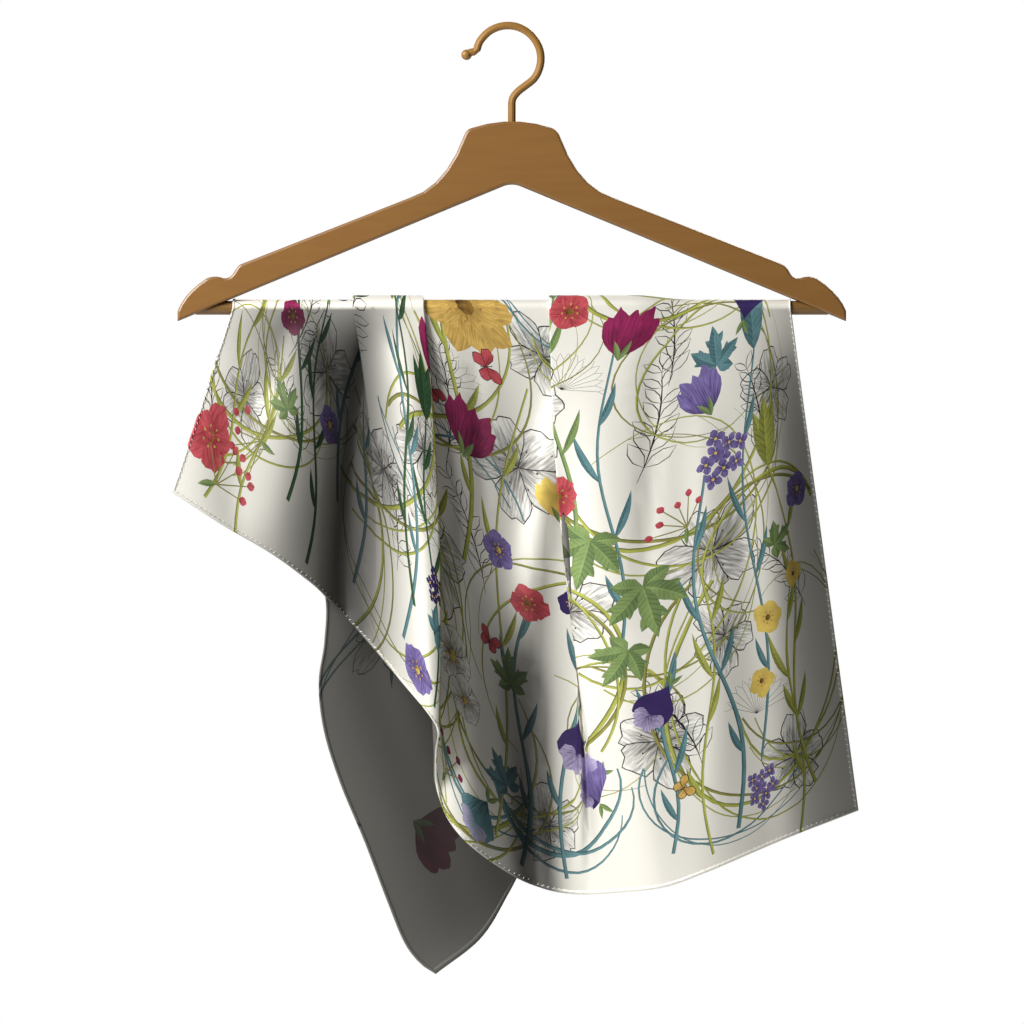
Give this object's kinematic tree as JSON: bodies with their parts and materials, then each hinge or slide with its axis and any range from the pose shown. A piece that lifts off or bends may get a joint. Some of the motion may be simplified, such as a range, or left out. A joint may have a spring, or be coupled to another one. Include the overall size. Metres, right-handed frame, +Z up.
{
  "type": "silk square scarf on a wooden trouser hanger",
  "caption": "Square silk scarf with a rolled hem, draped in soft pleats over the bar of a wooden trouser hanger with a hook.",
  "frame": {"origin": "inside the top of the hook's bow, where a rail carries it", "axes": "+Z up, the front of the cloth and the hanger faces -Y, +X to the right seen from the front"},
  "size_m": [0.4636, 0.1043, 0.6434],
  "materials": {
    "silk": "ivory silk twill, printed with a flower and stem pattern in olive, teal, plum, coral and ochre, soft sheen, hand-rolled hem",
    "hanger_wood": "smooth brown stained wood with a satin varnish",
    "bar_wood": "turned round bar, brown stain under satin varnish",
    "hook_wire": "bent steel wire, brown lacquer, satin"
  },
  "bodies": {
    "root": {"hanger_body": "hanger_wood", "trouser_bar": "bar_wood", "hook": "hook_wire", "scarf_front_left": "silk", "scarf_front_pleat": "silk", "scarf_front_middle": "silk", "scarf_front_right": "silk", "scarf_front_edge": "silk", "scarf_over_bar": "silk", "scarf_back_left": "silk", "scarf_back_pleat": "silk", "scarf_back_hollow": "silk", "scarf_back_middle": "silk", "scarf_back_right": "silk", "scarf_back_edge": "silk"}
  },
  "joints": []
}
